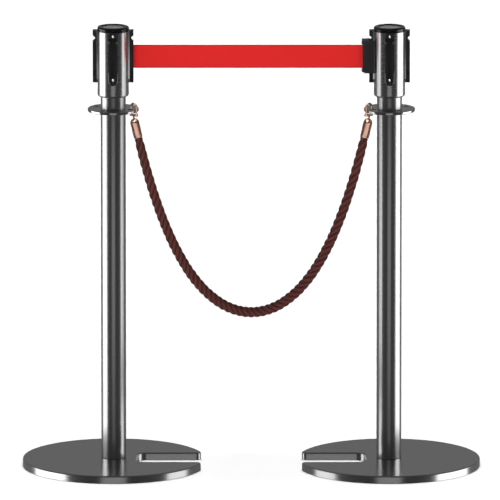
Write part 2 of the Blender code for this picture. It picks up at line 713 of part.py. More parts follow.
def build_post(side):
    sign = -1 if side == "left" else 1
    centre = (sign * POST_X, 0.0, 0.0)
    inward = 0.0 if side == "left" else math.pi       # towards the other post
    base_frame = empty(f"{side}_base_frame", centre, inward)
    head_frame = empty(f"{side}_head_frame", centre, math.radians(OUTLET[side]))
    base(side, base_frame)
    foot(side, base_frame)
    post(side, base_frame)
    head_shell(side, head_frame)
    top_cap(side, head_frame)
    channels(side, head_frame, centre)
    winder(side, head_frame)
    belt_span(side, head_frame)
    clip(side, head_frame)
    rope_end(side, base_frame)


def build():
    for side in ("left", "right"):
        build_post(side)
    rope()


# The way each post's outlet and receivers face, in degrees about +Z from +X
OUTLET = {"left": 0, "right": 90}
RECEIVERS = {
    "left": {"front": -90, "back": 90, "side": 180},
    "right": {"front": -90, "inner": 180, "side": 0},
}

clear_scene()
PARTS = collection("belt_stanchion_pair")
CUTTERS = collection("cutters")
LOOKS = {
    "steel": material("steel", (0.42, 0.42, 0.43), 0.3, 1.0),
    "cast_iron": material("cast_iron", (0.10, 0.10, 0.10), 0.7, 0.6),
    "zinc": material("zinc", (0.55, 0.56, 0.58), 0.4, 1.0),
    "aluminium": material("aluminium", (0.62, 0.62, 0.64), 0.4, 1.0),
    "spring_steel": material("spring_steel", (0.25, 0.26, 0.30), 0.35, 1.0),
    "rubber": material("rubber", (0.03, 0.03, 0.03), 0.8),
    "black_plastic": material("black_plastic", (0.02, 0.02, 0.02), 0.45),
    "black_gloss": material("black_gloss", (0.01, 0.01, 0.01), 0.15),
    "grey_plastic": material("grey_plastic", (0.30, 0.30, 0.30), 0.35),
    "belt_red": material("belt_red", (0.70, 0.03, 0.025), 0.7),
    "rope_brown": material("rope_brown", (0.10, 0.03, 0.025), 0.85),
    "copper": material("copper", (0.72, 0.38, 0.28), 0.25, 1.0),
}
build()
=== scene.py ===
"""The looks of a pair of retractable belt posts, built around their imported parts.

Metres, +Z up, in the parts' own frame: X runs from the left post to the right one, and the
camera stands on the -Y side. Every visible part gets a finer mesh here, on the same body.
"""
import json
import math

import bmesh
import bpy
import numpy as np
from mathutils import Matrix, Vector

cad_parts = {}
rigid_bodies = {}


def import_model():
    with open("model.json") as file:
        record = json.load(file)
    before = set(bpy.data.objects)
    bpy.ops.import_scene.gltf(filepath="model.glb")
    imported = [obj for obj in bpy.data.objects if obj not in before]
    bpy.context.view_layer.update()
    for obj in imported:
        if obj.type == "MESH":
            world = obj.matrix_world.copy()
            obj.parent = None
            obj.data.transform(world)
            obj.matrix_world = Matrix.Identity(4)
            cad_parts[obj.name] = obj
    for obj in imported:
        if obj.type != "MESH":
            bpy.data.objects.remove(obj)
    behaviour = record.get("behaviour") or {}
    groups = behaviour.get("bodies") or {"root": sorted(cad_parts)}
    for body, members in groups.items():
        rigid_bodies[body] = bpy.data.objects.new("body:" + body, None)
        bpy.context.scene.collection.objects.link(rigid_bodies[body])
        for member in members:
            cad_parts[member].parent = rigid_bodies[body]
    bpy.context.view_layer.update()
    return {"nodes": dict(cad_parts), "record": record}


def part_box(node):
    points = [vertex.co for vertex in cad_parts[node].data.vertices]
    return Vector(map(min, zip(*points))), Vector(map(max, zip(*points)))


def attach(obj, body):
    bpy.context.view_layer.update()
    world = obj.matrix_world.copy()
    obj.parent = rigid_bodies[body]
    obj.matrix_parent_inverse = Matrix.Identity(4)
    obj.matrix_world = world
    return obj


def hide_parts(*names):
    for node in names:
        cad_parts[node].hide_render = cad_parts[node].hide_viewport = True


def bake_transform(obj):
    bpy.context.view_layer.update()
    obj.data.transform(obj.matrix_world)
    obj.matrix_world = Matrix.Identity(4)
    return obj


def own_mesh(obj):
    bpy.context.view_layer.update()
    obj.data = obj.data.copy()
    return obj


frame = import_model()

# ---- sizes from the frame

TUBE_LOW, TUBE_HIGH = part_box("right_post_tube")
POST_X = (TUBE_LOW.x + TUBE_HIGH.x) / 2
TUBE_R = (TUBE_HIGH.x - TUBE_LOW.x) / 2
HEAD_LOW, HEAD_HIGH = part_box("right_head_tube")
HEAD_R = (HEAD_HIGH.x - HEAD_LOW.x) / 2
RING_LOW, RING_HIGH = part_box("right_rope_ring")
COVER_LOW, COVER_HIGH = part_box("right_base_cover")
CAP_LOW, CAP_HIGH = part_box("right_top_cap")
CHANNEL_LOW, CHANNEL_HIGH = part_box("right_receiver_side")
CHANNEL_FACE = CHANNEL_HIGH.x - POST_X
BELT_LOW, BELT_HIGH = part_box("left_belt_span")
STUB_LOW, STUB_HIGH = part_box("right_belt_span")
PARKED_LOW, PARKED_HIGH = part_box("right_clip_housing")

# ---- driving sizes

GAP = 0.0003                 # clearance between neighbouring pieces
WALL = 0.0012                # sheet thickness of the tube and the base cover

BASE_R = 0.186
BASE_EDGE_R = 0.003          # rounding of the cover's upper edge
SLOT_HALF = 0.0445           # half width of the slot that opens towards the other post
SLOT_END = 0.047             # from the post's axis to the slot's closed end
SLOT_END_R = 0.021           # rounding of the slot's two inner corners
SLOT_CORNER = 0.010          # rounding where the slot meets the rim
BOLT_CLEAR_R = 0.0063        # bore for the bolt below the post

RING_EDGE_R = 0.0012
RING_HOLE_R = 0.0065
RING_HOLE_AT = 0.039         # from the post's axis to a hole's middle
HOOK_TURN = 30               # degrees from the line between the posts towards the front

HEAD_WALL = 0.0015
HEAD_EDGE_R = 0.005          # rounding of the head's lower edge
SLIT_START = 0.028           # inner end of the belt's way out, from the post's axis
SLIT_HALF = 0.0015           # half its width
SLIT_LOW, SLIT_HIGH = 0.821, 0.875
CAP_EDGE_R = 0.0035
CAP_RIM_LOW = 0.9042
DISC_R = 0.0216              # the cap's grey inlay

# A channel, across and up, and outwards from the post's axis
CHANNEL_HALF = 0.010
RAIL_TOP = 0.0336            # outer face of the metal rail
RAIL_HOLLOW = 0.0085         # half width of the plastic that fills the rail
STEP_BACK = 0.0004           # how far the plastic's sides stand back from the rail's
LIP = 0.0026
LIP_GAP = 0.004              # half width between the lips
LIP_END = 0.818              # below this the lips narrow to the rounded end
TAIL_HALF = 0.0068           # half width of the rounded end
CAVITY_HALF = 0.006
CAVITY_FLOOR = 0.0338
CAVITY_LOW = 0.799
NOTCH_Z = 0.886
NOTCH_R = 0.0062
NOTCH_HIGH = 0.892
SCREW_R = 0.0036
SCREW_SEATS = ((0.0386, 0.8950), (0.0352, 0.8043))      # from the post's axis, and height

# A clip: x runs from the channel's face towards its post
CLIP_HALF = 0.013
CLIP_OUT = -0.0153
CLIP_FACE = -0.0134          # the recessed face that the belt goes into
CHEEK_END = 0.0105
CLIP_LIFT = 0.0070
PIN_AT = -0.005
PIN_R = 0.0015
PIN_LOW, PIN_HIGH = 0.8157, 0.8745
TONGUE_LOW, TONGUE_HIGH = 0.8735, 0.8785

ROPE_R = 0.010
LAY_MIDDLE = 0.046           # length of one full turn of a strand, where the rope hangs lowest
LAY_END = 0.074              # and beside its ferrules
STRANDS = 4
STRAND_R = 0.0048
ROPE_Y = -0.0241
ROPE_END = (0.0510, 0.6848)  # the ferrule's mouth, from the post's axis, and height
ROPE_TILT = math.radians(13)
FERRULE_LENGTH = 0.041
FERRULE_R = 0.0092

# A snap hook: x runs from the post's axis through the ring plate's hole
HOOK_R = 0.00225
HOOK_INNER = 0.0418          # the leg inside the hole's inner rim
HOOK_OUTER = 0.0546          # the leg that the bolt closes
HOOK_BOW_Z = 0.7481
HOOK_LEG_LOW = 0.7312
HOOK_TIP_LOW = 0.7472
BRIDGE_LOW, BRIDGE_HIGH = 0.7290, 0.7335
BARREL_LOW, BARREL_HIGH = 0.7288, 0.7345
NECK_X = 0.0482
BOLT_R = 0.0018
BOLT_LOW, BOLT_HIGH = 0.7322, 0.7469
# Half of the rope's hanging line, from the middle to the ferrule: x and height
ROPE_ROUTE = [
    (0.0000, 0.3228), (0.0300, 0.3271), (0.0600, 0.3402), (0.0900, 0.3634), (0.1150, 0.3915),
    (0.1350, 0.4210), (0.1550, 0.4578), (0.1700, 0.4910), (0.1850, 0.5296), (0.1980, 0.5682),
    (0.2090, 0.6049), (0.2185, 0.6399), (0.2250, 0.6659), (0.2295, 0.6848),
]

SIDES = {"left": -1, "right": 1}
# The way each post's outlet and receivers face, in degrees about +Z from +X
OUTLET = {"left": 0, "right": 90}
RECEIVERS = {
    "left": {"front": -90, "back": 90, "side": 180},
    "right": {"front": -90, "inner": 180, "side": 0},
}


# ---- camera

def make_camera():
    """A long lens from the front, looking a little down, so that the posts stay upright."""
    distance, seen_width, elevation = 30.0, 1.0175, math.radians(11.3)
    target = Vector((-0.0027, 0.0, 0.447))
    back = Vector((0.0, -math.cos(elevation), math.sin(elevation)))
    camera = new_object("camera", bpy.data.cameras.new("camera"))
    camera.data.sensor_width = 36.0
    camera.data.lens = camera.data.sensor_width * distance / seen_width
    camera.data.clip_end = 1000.0
    camera.location = target + back * distance
    camera.rotation_euler = (math.pi / 2 - elevation, 0.0, 0.0)
    bpy.context.scene.camera = camera


# ---- mesh helpers

def new_object(name, data):
    made = bpy.data.objects.new(name, data)
    bpy.context.scene.collection.objects.link(made)
    return made


def object_from(name, bm):
    mesh = bpy.data.meshes.new(name)
    bmesh.ops.recalc_face_normals(bm, faces=bm.faces)
    bm.to_mesh(mesh)
    bm.free()
    return new_object(name, mesh)


def settle(thing, weld=0.0):
    """Replaces an object's data with the mesh that its modifiers or its curve make."""
    bpy.context.view_layer.update()
    graph = bpy.context.evaluated_depsgraph_get()
    mesh = bpy.data.meshes.new_from_object(thing.evaluated_get(graph))
    mesh.materials.clear()
    if weld:
        bm = bmesh.new()
        bm.from_mesh(mesh)
        bmesh.ops.remove_doubles(bm, verts=bm.verts, dist=weld)
        bmesh.ops.recalc_face_normals(bm, faces=bm.faces)
        bm.to_mesh(mesh)
        bm.free()
    if thing.type == "MESH":
        thing.modifiers.clear()
        thing.data = mesh
        return thing
    made = new_object(thing.name + "_mesh", mesh)
    name = thing.name
    bpy.data.objects.remove(thing)
    made.name = name
    return made


def smooth(thing, angle=35):
    thing.data.shade_smooth()
    thing.data.set_sharp_from_angle(angle=math.radians(angle))
    return thing


def lathe(name, profile, steps=96):
    """A turned solid. The profile's (radius, height) points run down its outer side.

    A profile that starts on the axis stays open there, and any other is a closed loop.
    """
    bm = bmesh.new()
    corners = [bm.verts.new((r, 0.0, z)) for r, z in profile]
    for a, b in zip(corners, corners[1:]):
        bm.edges.new((a, b))
    if profile[0][0] > 0:
        bm.edges.new((corners[-1], corners[0]))
    mesh = bpy.data.meshes.new(name)
    bm.to_mesh(mesh)
    bm.free()
    made = new_object(name, mesh)
    screw = made.modifiers.new("Turn", "SCREW")
    screw.steps = steps
    screw.render_steps = steps
    screw.use_merge_vertices = True
    screw.merge_threshold = 0.00001
    return settle(made)


def prism(name, outlines, low, high, turn=None):
    """Flat outlines, the first with the others as holes, extruded from low to high."""
    curve = bpy.data.curves.new(name, "CURVE")
    curve.dimensions = "2D"
    curve.fill_mode = "BOTH"
    curve.extrude = (high - low) / 2
    for outline in outlines:
        spline = curve.splines.new("POLY")
        spline.points.add(len(outline) - 1)
        for point, (x, y) in zip(spline.points, outline):
            point.co = (x, y, 0.0, 1.0)
        spline.use_cyclic_u = True
    made = settle(new_object(name, curve), weld=0.000005)
    made.data.transform(Matrix.Translation((0.0, 0.0, (low + high) / 2)))
    if turn is not None:
        made.data.transform(turn)
    return made


def rod(name, points, radius, taper=None):
    """A round rod with closed ends along the points."""
    curve = bpy.data.curves.new(name, "CURVE")
    curve.dimensions = "3D"
    curve.bevel_depth = radius
    curve.bevel_resolution = 6
    curve.use_fill_caps = True
    spline = curve.splines.new("POLY")
    spline.points.add(len(points) - 1)
    for number, (point, place) in enumerate(zip(spline.points, points)):
        point.co = (*place, 1.0)
        if taper is not None:
            point.radius = taper[number]
    return settle(new_object(name, curve), weld=0.000005)


def block(name, low, high):
    size = Vector(high) - Vector(low)
    middle = (Vector(high) + Vector(low)) / 2
    bm = bmesh.new()
    move = Matrix.Translation(middle) @ Matrix.Diagonal((*size, 1.0))
    bmesh.ops.create_cube(bm, size=1.0, matrix=move)
    return object_from(name, bm)


def drum(name, radius, start, end, sides=64):
    """A cylinder between two points."""
    axis = Vector(end) - Vector(start)
    turn = axis.to_track_quat("Z", "Y").to_matrix().to_4x4()
    move = Matrix.Translation((Vector(start) + Vector(end)) / 2) @ turn
    bm = bmesh.new()
    bmesh.ops.create_cone(bm, cap_ends=True, segments=sides, radius1=radius, radius2=radius,
                          depth=axis.length, matrix=move)
    return object_from(name, bm)


def combine(target, others, operation="DIFFERENCE"):
    """Cuts the others from the target, or joins them to it, and removes them."""
    for other in others:
        boolean = target.modifiers.new(other.name, "BOOLEAN")
        boolean.operation = operation
        boolean.solver = "EXACT"
        boolean.object = other
    settle(target)
    for other in others:
        bpy.data.objects.remove(other)
    return target


def soften(thing, width, segments=3, angle=30):
    """Rounds an object's sharp edges."""
    bevel = thing.modifiers.new("Soften", "BEVEL")
    bevel.width = width
    bevel.segments = segments
    bevel.limit_method = "ANGLE"
    bevel.angle_limit = math.radians(angle)
    bevel.use_clamp_overlap = True
    return smooth(settle(thing))


def join_rings(bm, near, far):
    """Makes the faces between two loops that have the same number of points."""
    around = zip(near, near[1:] + near[:1], far[1:] + far[:1], far)
    return [bm.faces.new(corners) for corners in around]


def arc(centre, radius, start, end, count):
    """Points on an arc, from one angle to another in degrees, both ends included."""
    angles = np.radians(np.linspace(start, end, count))
    return [(centre[0] + radius * math.cos(a), centre[1] + radius * math.sin(a)) for a in angles]


def post_frame(side, angle=0.0):
    """The frame on a post's axis whose X axis is turned by angle, in degrees."""
    turn = Matrix.Rotation(math.radians(angle), 4, "Z")
    return Matrix.Translation((SIDES[side] * POST_X, 0.0, 0.0)) @ turn


def inward(side):
    return 0.0 if side == "left" else 180.0


def hook_angle(side):
    return -HOOK_TURN if side == "left" else HOOK_TURN - 180.0


def show(piece, place, look, nodes=(), body="root"):
    """Places a finished piece, gives it its material and body, and hides the CAD nodes that it
    replaces.
    """
    piece.matrix_world = place
    piece.data.materials.append(LOOKS[look])
    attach(piece, body)
    if nodes:
        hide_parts(*nodes)
    return piece


# ---- materials

LOOKS = {}


class Look:
    """A node-based material around one Principled shader, kept in LOOKS by its name."""

    def __init__(self, name, colour, roughness, metallic=0.0, **sockets):
        LOOKS[name] = bpy.data.materials.new(name)
        LOOKS[name].use_nodes = True
        self.nodes = LOOKS[name].node_tree.nodes
        self.links = LOOKS[name].node_tree.links
        self.shader = self.nodes["Principled BSDF"]
        self.colour = colour
        self.normal = None
        self.shader.inputs["Base Color"].default_value = (*colour, 1.0)
        self.shader.inputs["Roughness"].default_value = roughness
        self.shader.inputs["Metallic"].default_value = metallic
        for socket, value in sockets.items():
            self.shader.inputs[socket.replace("_", " ")].default_value = value

    def node(self, kind, **sockets):
        made = self.nodes.new(kind)
        for socket, value in sockets.items():
            made.inputs[socket.replace("_", " ")].default_value = value
        return made

    def coordinates(self, stretch=(1, 1, 1), kind="Object"):
        source = self.node("ShaderNodeTexCoord")
        mapping = self.node("ShaderNodeMapping", Scale=stretch)
        self.links.new(source.outputs[kind], mapping.inputs["Vector"])
        return mapping.outputs["Vector"]

    def noise(self, scale, stretch=(1, 1, 1), detail=3.0):
        """Noise with about scale bumps per metre, more along the axes that are stretched."""
        made = self.node("ShaderNodeTexNoise", Scale=scale, Detail=detail)
        self.links.new(self.coordinates(stretch), made.inputs["Vector"])
        return made.outputs["Fac"]

    def bands(self, period, direction, kind="Object", stretch=(1, 1, 1)):
        """Rounded bands, one to each period along one direction."""
        made = self.node("ShaderNodeTexWave", Scale=2 * math.pi / (20 * period))
        made.bands_direction = direction
        self.links.new(self.coordinates(stretch, kind), made.inputs["Vector"])
        return made.outputs["Fac"]

    def math(self, operation, *values):
        made = self.nodes.new("ShaderNodeMath")
        made.operation = operation
        for socket, value in zip(made.inputs, values):
            if isinstance(value, (int, float)):
                socket.default_value = value
            else:
                self.links.new(value, socket)
        return made.outputs["Value"]

    def range(self, value, low, high, to_low=0.0, to_high=1.0):
        made = self.node("ShaderNodeMapRange", From_Min=low, From_Max=high, To_Min=to_low,
                         To_Max=to_high)
        self.links.new(value, made.inputs["Value"])
        return made.outputs["Result"]

    def tint(self, factor, other):
        """Mixes the base colour towards another colour by a factor from 0 to 1."""
        mix = self.nodes.new("ShaderNodeMix")
        mix.data_type = "RGBA"
        self.links.new(factor, mix.inputs["Factor"])
        socket = self.shader.inputs["Base Color"]
        if socket.is_linked:
            self.links.new(socket.links[0].from_socket, mix.inputs["A"])
        else:
            mix.inputs["A"].default_value = (*self.colour, 1.0)
        mix.inputs["B"].default_value = (*other, 1.0)
        self.links.new(mix.outputs["Result"], socket)
        return self

    def roughen(self, factor, low, high):
        self.links.new(self.range(factor, 0.0, 1.0, low, high), self.shader.inputs["Roughness"])
        return self

    def bump(self, height, distance, strength=1.0):
        made = self.node("ShaderNodeBump", Distance=distance, Strength=strength)
        self.links.new(height, made.inputs["Height"])
        if self.normal is not None:
            self.links.new(self.normal, made.inputs["Normal"])
        self.normal = made.outputs["Normal"]
        self.links.new(self.normal, self.shader.inputs["Normal"])
        return self


def brushed(name, colour, roughness, stretch, anisotropy=0.0):
    """Steel with fine hairlines, drawn out along the axis that is stretched least."""
    look = Look(name, colour, roughness, 1.0, Anisotropic=anisotropy, Anisotropic_Rotation=0.25)
    hairs = look.noise(1.0, stretch, detail=4.0)
    cloud = look.noise(14.0)
    look.tint(look.range(hairs, 0.3, 0.7, 0.0, 0.22), tuple(0.55 * c for c in colour))
    look.tint(look.range(cloud, 0.35, 0.75, 0.0, 0.10), tuple(0.7 * c for c in colour))
    look.roughen(hairs, roughness - 0.04, roughness + 0.06)
    look.bump(hairs, 0.000006)
    if anisotropy:
        around = look.node("ShaderNodeTangent")
        around.direction_type = "RADIAL"
        around.axis = "Z"
        look.links.new(around.outputs["Tangent"], look.shader.inputs["Tangent"])


def metal(name, colour, roughness, grain=900.0):
    """Plated or turned metal: faint grain, and a cloudy change of gloss."""
    look = Look(name, colour, roughness, 1.0)
    cloud = look.noise(90.0)
    grain = look.noise(grain)
    look.tint(look.range(cloud, 0.3, 0.8, 0.0, 0.25), tuple(0.6 * c for c in colour))
    look.roughen(cloud, roughness - 0.05, roughness + 0.08)
    look.bump(grain, 0.00001)


def cast_iron():
    look = Look("cast_iron", (0.09, 0.09, 0.09), 0.65, 0.7)
    lumps = look.noise(600.0, detail=6.0)
    look.tint(look.range(lumps, 0.4, 0.7), (0.16, 0.13, 0.11))
    look.roughen(lumps, 0.5, 0.85)
    look.bump(lumps, 0.0004)


def rubber():
    look = Look("rubber", (0.025, 0.025, 0.025), 0.8)
    grain = look.noise(1500.0)
    look.tint(look.range(grain, 0.4, 0.8), (0.05, 0.05, 0.05))
    look.roughen(grain, 0.7, 0.95)
    look.bump(grain, 0.0001)


def plastic(name, colour, roughness, grain_depth, coat=0.0):
    """Moulded plastic with a fine grain and slightly rubbed patches."""
    look = Look(name, colour, roughness, Coat_Weight=coat, Coat_Roughness=0.05)
    grain = look.noise(2500.0, detail=2.0)
    patches = look.noise(60.0)
    look.tint(look.range(patches, 0.4, 0.8, 0.0, 0.5), tuple(1.5 * c for c in colour))
    look.roughen(patches, roughness - 0.04, roughness + 0.08)
    look.bump(grain, grain_depth)


def belt_webbing():
    """Red webbing: a fine plain weave, with denser bound edges that look darker."""
    look = Look("belt_red", (0.84, 0.014, 0.012), 0.6, Specular_IOR_Level=0.25)
    warp = look.bands(0.0011, "Z")
    weft = look.bands(0.0015, "X")
    weave = look.math("MULTIPLY", warp, weft)
    threads = look.noise(1.0, (120, 3000, 3000), detail=2.0)
    height = look.node("ShaderNodeSeparateXYZ")
    look.links.new(look.coordinates(), height.inputs["Vector"])
    middle = (BELT_LOW.z + BELT_HIGH.z) / 2
    half = (BELT_HIGH.z - BELT_LOW.z) / 2
    across = look.math("ABSOLUTE", look.math("SUBTRACT", height.outputs["Z"], middle))
    edge = look.range(across, half - 0.0028, half - 0.0014)
    look.tint(look.range(threads, 0.35, 0.75, 0.0, 0.25), (0.60, 0.008, 0.008))
    look.tint(look.range(weave, 0.0, 1.0, 0.18, 0.0), (0.48, 0.006, 0.006))
    look.tint(look.math("MULTIPLY", edge, 0.75), (0.30, 0.006, 0.008))
    look.roughen(threads, 0.5, 0.75)
    look.bump(weave, 0.00012)


def rope_strands():
    """Brown rope: yarns that lie along the rope on every strand, with painted shade in the grooves."""
    look = Look("rope_brown", (0.130, 0.030, 0.024), 0.6, Specular_IOR_Level=0.25)
    place = look.node("ShaderNodeSeparateXYZ")
    look.links.new(look.coordinates(kind="UV"), place.inputs["Vector"])
    around, along = place.outputs["X"], place.outputs["Y"]
    yarn = look.math("MULTIPLY", look.math("MULTIPLY_ADD", along, 0.5, around), 2 * math.pi * 40)
    yarns = look.math("MULTIPLY_ADD", look.math("SINE", yarn), 0.5, 0.5)
    lobes = look.math("COSINE", look.math("MULTIPLY", around, 2 * math.pi * STRANDS))
    crown = look.math("MULTIPLY_ADD", lobes, 0.5, 0.5)
    fibres = look.noise(900.0, detail=4.0)
    # Painted shade: the grooves between the strands are darkened to near-black brown, away from each
    # strand's crown.
    look.tint(look.range(crown, 0.0, 0.55, 0.8, 0.0), (0.028, 0.008, 0.007))
    look.tint(look.range(fibres, 0.4, 0.8, 0.0, 0.3), (0.20, 0.060, 0.048))
    look.tint(look.math("MULTIPLY", yarns, 0.25), (0.05, 0.014, 0.012))
    look.roughen(fibres, 0.5, 0.8)
    look.bump(yarns, 0.00025)
    look.bump(fibres, 0.0002)


def floor_look():
    look = Look("floor", (0.86, 0.86, 0.86), 0.9)
    cloud = look.noise(0.8)
    look.tint(look.range(cloud, 0.3, 0.8, 0.0, 0.2), (0.83, 0.83, 0.83))


# ---- base and post

def base_loop(inset):
    """The base's outline from above, slot towards +X, drawn in by inset all round."""
    radius = BASE_R - inset
    half = SLOT_HALF + inset
    corner = SLOT_CORNER - inset
    corner_y = half + corner
    corner_x = math.sqrt((radius - corner) ** 2 - corner_y ** 2)
    turn = math.degrees(math.atan2(corner_y, corner_x))
    points = arc((corner_x, corner_y), corner, -90, turn, 12)
    points += arc((0, 0), radius, turn, 360 - turn, 180)[1:-1]
    points += arc((corner_x, -corner_y), corner, -turn, 90, 12)
    end = (SLOT_END + SLOT_END_R, SLOT_HALF - SLOT_END_R)
    points += arc((end[0], -end[1]), SLOT_END_R + inset, 270, 180, 14)
    points += arc(end, SLOT_END_R + inset, 180, 90, 14)
    return points


def close_plate(bm, ring, z):
    """Fills a loop with a flat face that has the bolt's bore in it, and returns the bore's loop."""
    bore = [bm.verts.new((x, y, z)) for x, y in arc((0, 0), BOLT_CLEAR_R, 0, 345, 24)]
    edges = [bm.edges.get((a, b)) or bm.edges.new((a, b))
             for loop in (ring, bore) for a, b in zip(loop, loop[1:] + loop[:1])]
    bmesh.ops.triangle_fill(bm, edges=edges, use_beauty=True)
    return bore


def base_cover(side):
    """The pressed steel cover, as a thin shell with a rounded upper edge."""
    low, top = COVER_LOW.z, COVER_HIGH.z
    steps = np.radians(np.linspace(0, 90, 7))
    flat = 0.0003            # narrow bands that keep the rim and the top flat beside the rounding
    levels = [(WALL, top - WALL), (WALL, low), (0.0, low), (0.0, top - BASE_EDGE_R - flat)]
    levels += [(BASE_EDGE_R * (1 - math.cos(a)), top - BASE_EDGE_R * (1 - math.sin(a)))
               for a in steps]
    levels += [(BASE_EDGE_R + flat, top)]
    bm = bmesh.new()
    rings = [[bm.verts.new((x, y, z)) for x, y in base_loop(inset)] for inset, z in levels]
    for lower, upper in zip(rings, rings[1:]):
        join_rings(bm, lower, upper)
    join_rings(bm, close_plate(bm, rings[0], top - WALL), close_plate(bm, rings[-1], top))
    cover = smooth(object_from(f"{side}_cover_shell", bm), 40)
    show(cover, post_frame(side, inward(side)), "base_steel", [f"{side}_base_cover"])


def chamfered(radius, chamfer, low, high):
    """The profile of a short pin whose two ends are chamfered."""
    return [(0.0, high), (radius - chamfer, high), (radius, high - chamfer),
            (radius, low + chamfer), (radius - chamfer, low), (0.0, low)]


def rounded_ring(inner, outer, low, high, edge):
    """The profile of a ring whose outer edges are rounded."""
    upper = arc((outer - edge, high - edge), edge, 90, 0, 5)
    lower = arc((outer - edge, low + edge), edge, 0, -90, 5)
    return [(inner, high), *upper, *lower, (inner, low)]


def post_tube(side):
    profile = rounded_ring(TUBE_R - WALL, TUBE_R, TUBE_LOW.z, TUBE_HIGH.z, 0.0004)
    tube = lathe(f"{side}_tube", profile, steps=128)
    show(smooth(tube), post_frame(side), "tube_steel", [f"{side}_post_tube"])


def rope_ring(side):
    """The flat ring plate with four holes, of which one holds the hook."""
    radius = (RING_HIGH.x - RING_LOW.x) / 2
    profile = rounded_ring(TUBE_R + GAP, radius, RING_LOW.z, RING_HIGH.z, RING_EDGE_R)
    ring = lathe(f"{side}_ring_plate", profile, steps=128)
    holes = []
    for number in range(4):
        angle = math.radians(hook_angle(side) + 90 * number)
        x, y = RING_HOLE_AT * math.cos(angle), RING_HOLE_AT * math.sin(angle)
        below, above = (x, y, RING_LOW.z - 0.01), (x, y, RING_HIGH.z + 0.01)
        holes.append(drum("hole", RING_HOLE_R, below, above))
    combine(ring, holes)
    show(soften(ring, 0.0004, 2), post_frame(side), "ring_steel",
         [f"{side}_rope_ring"])


# ---- head

def belt_slit(reach):
    """Cuts the belt's way out, from inside the head as far out as reach."""
    return block("slit", (SLIT_START, -SLIT_HALF, SLIT_LOW), (reach, SLIT_HALF, SLIT_HIGH))


def head_tube(side):
    """The wide tube around the reel, drawn in at its foot, with the belt's slit."""
    inner = HEAD_R - HEAD_WALL
    bore = TUBE_R + GAP
    low = HEAD_LOW.z
    centre = (HEAD_R - HEAD_EDGE_R, low + HEAD_EDGE_R)
    outside = arc(centre, HEAD_EDGE_R, 0, -90, 9)
    inside = arc(centre, HEAD_EDGE_R - HEAD_WALL, -90, 0, 7)
    profile = [(inner, HEAD_HIGH.z), (HEAD_R, HEAD_HIGH.z), *outside, (bore, low),
               (bore, low + HEAD_WALL), *inside]
    tube = lathe(f"{side}_head_shell", profile, steps=128)
    combine(tube, [belt_slit(HEAD_R + 0.002)])
    show(smooth(tube), post_frame(side, OUTLET[side]), "head_steel",
         [f"{side}_head_tube"])


def top_cap(side):
    """A glossy cap: rounded rim, a flush band below it, a dish and a skirt inside the head."""
    radius = (CAP_HIGH.x - CAP_LOW.x) / 2
    top, under, skirt_low = CAP_HIGH.z, HEAD_HIGH.z + GAP, CAP_LOW.z
    skirt = HEAD_R - HEAD_WALL - GAP
    recess = top - 0.003
    lip = 0.0006             # rounding of the rim's foot
    groove = HEAD_R - 0.0005
    rim = arc((radius - CAP_EDGE_R, top - CAP_EDGE_R), CAP_EDGE_R, 90, 0, 10)
    foot = arc((radius - lip, CAP_RIM_LOW + lip), lip, 0, -90, 4)
    profile = [(0.0, recess), (DISC_R + 0.0004, recess), (DISC_R + 0.0006, top - 0.0012),
               (DISC_R + 0.0009, top - 0.0005), (DISC_R + 0.0020, top), *rim, *foot,
               (groove, CAP_RIM_LOW), (groove, CAP_RIM_LOW - 0.0005), (HEAD_R, CAP_RIM_LOW - 0.0009),
               (HEAD_R, under + 0.0003), (HEAD_R - 0.0003, under), (skirt, under),
               (skirt, skirt_low), (skirt - 0.002, skirt_low), (skirt - 0.002, under), (0.0, under)]
    cap = smooth(lathe(f"{side}_cap_shell", profile))
    show(cap, post_frame(side), "black_gloss", [f"{side}_top_cap"])

    low, high, edge_r = recess + GAP, top - 0.002, 0.0005
    edge = arc((DISC_R - edge_r, high - edge_r), edge_r, 90, 0, 4)
    disc = lathe(f"{side}_cap_inlay", [(0.0, high), *edge, (DISC_R, low), (0.0, low)])
    show(smooth(disc), post_frame(side), "grey_plastic", [f"{side}_cap_disc"])


def tongue_outline(half, low, high):
    """A long shape from above: flat at the top end, round at the low end."""
    return [(half, high), (-half, high), *arc((0, low + half), half, 180, 360, 25)]


# Lays an outline that is drawn as (across, height) on a channel, which faces +X
ON_CHANNEL = Matrix(((0, 0, 1, 0), (1, 0, 0, 0), (0, 1, 0, 0), (0, 0, 0, 1)))


def head_seat():
    """Cuts the round side of the head out of a channel."""
    below, above = (0, 0, CHANNEL_LOW.z - 0.02), (0, 0, CHANNEL_HIGH.z + 0.02)
    return drum("seat", HEAD_R + GAP, below, above, 128)


def channel_rail(name, place, nodes):
    """The metal rail that carries a channel, seated on the head's round side."""
    low, high = CHANNEL_LOW.z, CHANNEL_HIGH.z
    outline = tongue_outline(CHANNEL_HALF, low, high)
    hollow = tongue_outline(RAIL_HOLLOW, low + CHANNEL_HALF - RAIL_HOLLOW, high + 0.001)
    rail = prism(name, [outline], HEAD_R - 0.004, RAIL_TOP, ON_CHANNEL)
    core = prism("core", [hollow], HEAD_R - 0.006, RAIL_TOP + 0.001, ON_CHANNEL)
    combine(rail, [core, head_seat()])
    show(soften(rail, 0.0003, 2), place, "rail_steel", nodes)


